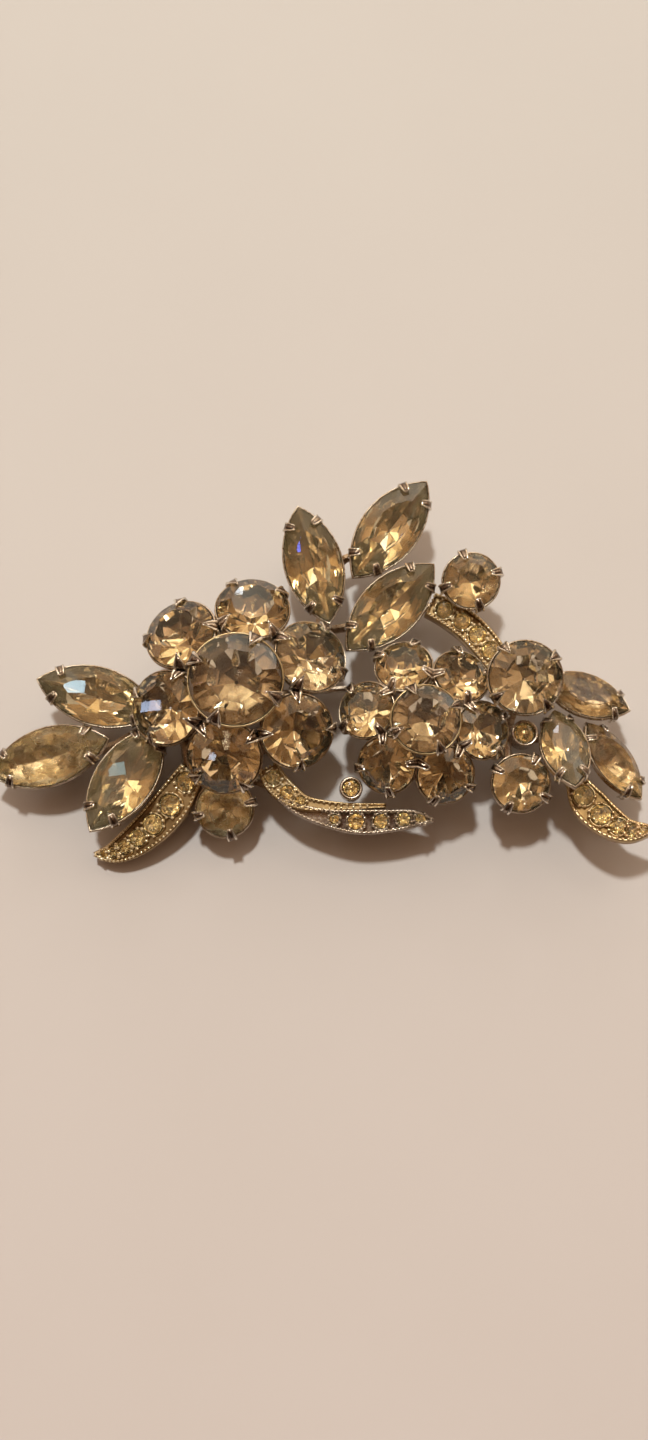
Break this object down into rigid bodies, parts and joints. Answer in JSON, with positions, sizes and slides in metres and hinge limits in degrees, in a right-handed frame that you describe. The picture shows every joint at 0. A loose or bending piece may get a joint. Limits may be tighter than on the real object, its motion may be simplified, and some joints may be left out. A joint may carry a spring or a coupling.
{
  "type": "rhinestone brooch",
  "caption": "Dimensional floral spray brooch: prong-set faceted stones, navette leaves and pave bars, with a hinged pin and a rolling safety catch behind.",
  "frame": {"origin": "centre of the bounding box in plan, on the surface that the back rests on", "axes": "+X along the spray towards the smaller flower, +Z away from the back towards the viewer, +Y towards the tall leaves"},
  "size_m": [0.082, 0.0476, 0.0155],
  "materials": {
    "champagne_crystal": "foil-backed, cut and polished",
    "pale_crystal": "foil-backed, cut and polished",
    "golden_crystal": "foil-backed, cut and polished",
    "plated_metal": "bright silver-coloured plate, warm from age",
    "pin_steel": "drawn wire, polished"
  },
  "bodies": {
    "brooch": {"catch_housing": "plated_metal", "hinge_bracket": "plated_metal", "hinge_rivet": "pin_steel", "large_right_round_setting": "plated_metal", "large_right_round_stone": "champagne_crystal", "left_flower_frame": "plated_metal", "left_heart_setting": "plated_metal", "left_heart_stone": "champagne_crystal", "left_leaf_stem": "plated_metal", "left_petal_east_stone": "champagne_crystal", "left_petal_north_stone": "champagne_crystal", "left_petal_north_west_stone": "champagne_crystal", "left_petal_south_east_stone": "champagne_crystal", "left_petal_south_stone": "champagne_crystal", "left_petal_west_stone": "champagne_crystal", "lower_collet_setting": "plated_metal", "lower_collet_stone": "golden_crystal", "lower_left_leaf_setting": "plated_metal", "lower_left_leaf_stone": "pale_crystal", "lower_left_pave_bar": "plated_metal", "lower_left_round_setting": "plated_metal", "lower_left_round_stone": "champagne_crystal", "lower_pave_bar": "plated_metal", "lower_right_leaf_setting": "plated_metal", "lower_right_leaf_stone": "pale_crystal", "lower_right_pave_bar": "plated_metal", "lower_right_round_setting": "plated_metal", "lower_right_round_stone": "champagne_crystal", "lower_upper_leaf_setting": "plated_metal", "lower_upper_leaf_stone": "pale_crystal", "middle_right_leaf_setting": "plated_metal", "middle_right_leaf_stone": "pale_crystal", "outer_left_leaf_setting": "plated_metal", "outer_left_leaf_stone": "pale_crystal", "outer_upper_leaf_setting": "plated_metal", "outer_upper_leaf_stone": "pale_crystal", "right_collet_setting": "plated_metal", "right_collet_stone": "golden_crystal", "right_flower_frame": "plated_metal", "right_heart_setting": "plated_metal", "right_heart_stone": "champagne_crystal", "right_petal_east_stone": "champagne_crystal", "right_petal_north_east_stone": "champagne_crystal", "right_petal_north_stone": "champagne_crystal", "right_petal_south_stone": "champagne_crystal", "right_petal_south_west_stone": "champagne_crystal", "right_petal_west_stone": "champagne_crystal", "right_spray_stem": "plated_metal", "upper_leaf_setting": "plated_metal", "upper_leaf_stem": "plated_metal", "upper_leaf_stone": "pale_crystal", "upper_left_leaf_setting": "plated_metal", "upper_left_leaf_stone": "pale_crystal", "upper_pave_bar": "plated_metal", "upper_right_leaf_setting": "plated_metal", "upper_right_leaf_stone": "pale_crystal", "upper_right_round_setting": "plated_metal", "upper_right_round_stone": "champagne_crystal"},
    "pin": {"pin_stem": "pin_steel"},
    "roller": {"catch_roller": "pin_steel"}
  },
  "joints": [
    {"name": "pin_hinge", "type": "hinge", "parent": "brooch", "child": "pin", "pos_m": [-0.01485, -0.00298, 0.0018], "axis": [-0.0698, 0.9976, 0], "range_deg": [0, 80]},
    {"name": "catch_roller_turn", "type": "hinge", "parent": "brooch", "child": "roller", "pos_m": [0.01259, -0.00106, 0.0018], "axis": [0.9976, 0.0698, 0], "range_deg": [0, 105]}
  ]
}
